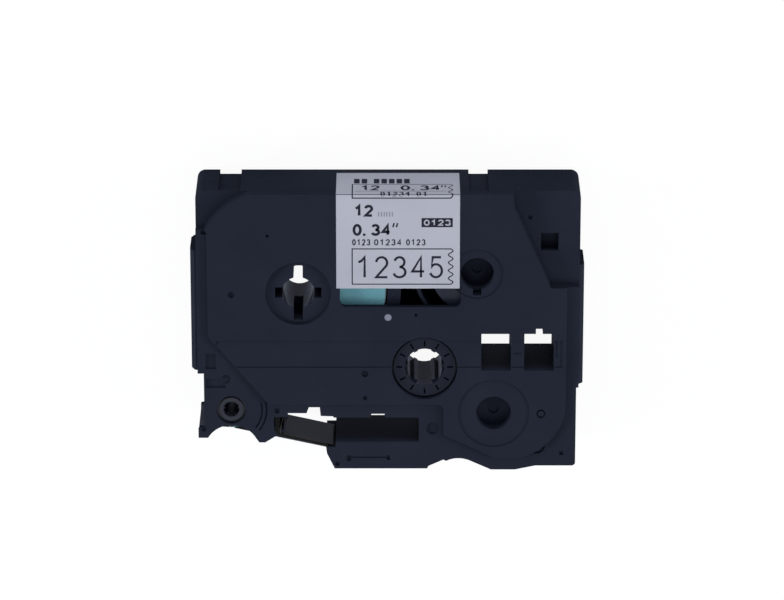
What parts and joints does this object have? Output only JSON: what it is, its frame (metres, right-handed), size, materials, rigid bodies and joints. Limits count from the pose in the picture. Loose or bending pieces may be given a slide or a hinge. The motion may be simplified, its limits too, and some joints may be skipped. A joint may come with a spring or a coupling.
{
  "type": "label tape cassette",
  "caption": "Flat moulded cassette for laminated label tape, with an open hub, a splined take-up spool, a hollow drive roller, a head recess and an arm, and a label folded over its rear wall",
  "frame": {"origin": "on the resting plane under the middle of the bounding box", "axes": "+Z is the outward normal of the labelled face, +Y points to the rear wall that the label folds over, +X points to the right as the label is read"},
  "size_m": [0.086, 0.0646, 0.0165],
  "materials": {
    "case_plastic": "fine satin moulded plastic",
    "label_film": "silvery blue-grey printed film",
    "spool_plastic": "satin moulded plastic",
    "adhesive_tape": "teal edge of wound tape and backing",
    "clear_film": "clear glossy film",
    "film_roll": "wound clear film, dark in its roll",
    "ink_ribbon": "dark brown translucent ribbon",
    "spring_steel": "bright spring wire",
    "roller_plastic": "dark moulded roller"
  },
  "bodies": {
    "case": {"lower_shell": "case_plastic", "upper_shell": "case_plastic", "face_label": "label_film", "film_brake_spring": "spring_steel", "ribbon_brake_spring": "spring_steel", "film_run": "clear_film", "ribbon_run": "ink_ribbon", "adhesive_run": "adhesive_tape", "laminated_tape": "adhesive_tape"},
    "adhesive_spool": {"adhesive_spool": "spool_plastic", "adhesive_roll": "adhesive_tape", "lower_spacer_film": "clear_film", "upper_spacer_film": "clear_film"},
    "film_spool": {"film_spool": "spool_plastic", "film_roll": "film_roll"},
    "ribbon_supply": {"ribbon_supply_spool": "spool_plastic", "ribbon_roll": "ink_ribbon"},
    "ribbon_takeup": {"ribbon_takeup_spool": "spool_plastic", "used_ribbon": "ink_ribbon", "takeup_clutch_spring": "spring_steel"},
    "drive_roller": {"drive_roller": "roller_plastic"}
  },
  "joints": [
    {"name": "adhesive_spin", "type": "hinge", "parent": "case", "child": "adhesive_spool", "pos_m": [-0.0194, 0.00935, 0.00825], "axis": [0, 0, 1], "continuous": true},
    {"name": "film_spin", "type": "hinge", "parent": "case", "child": "film_spool", "pos_m": [0.0196, 0.0139, 0.00825], "axis": [0, 0, 1], "continuous": true},
    {"name": "roller_spin", "type": "hinge", "parent": "case", "child": "drive_roller", "pos_m": [-0.0343, -0.0182, 0.00825], "axis": [0, 0, 1], "continuous": true},
    {"name": "takeup_spin", "type": "hinge", "parent": "case", "child": "ribbon_takeup", "pos_m": [0.0082, -0.0081, 0.00825], "axis": [0, 0, 1], "continuous": true},
    {"name": "ribbon_spin", "type": "hinge", "parent": "case", "child": "ribbon_supply", "pos_m": [0.0234, -0.0187, 0.00825], "axis": [0, 0, 1], "continuous": true}
  ],
  "couplings": [
    {"joint": "film_spin", "follows": "adhesive_spin", "ratio": -1.8812},
    {"joint": "roller_spin", "follows": "adhesive_spin", "ratio": -4.5238},
    {"joint": "ribbon_spin", "follows": "takeup_spin", "ratio": -1.025}
  ]
}
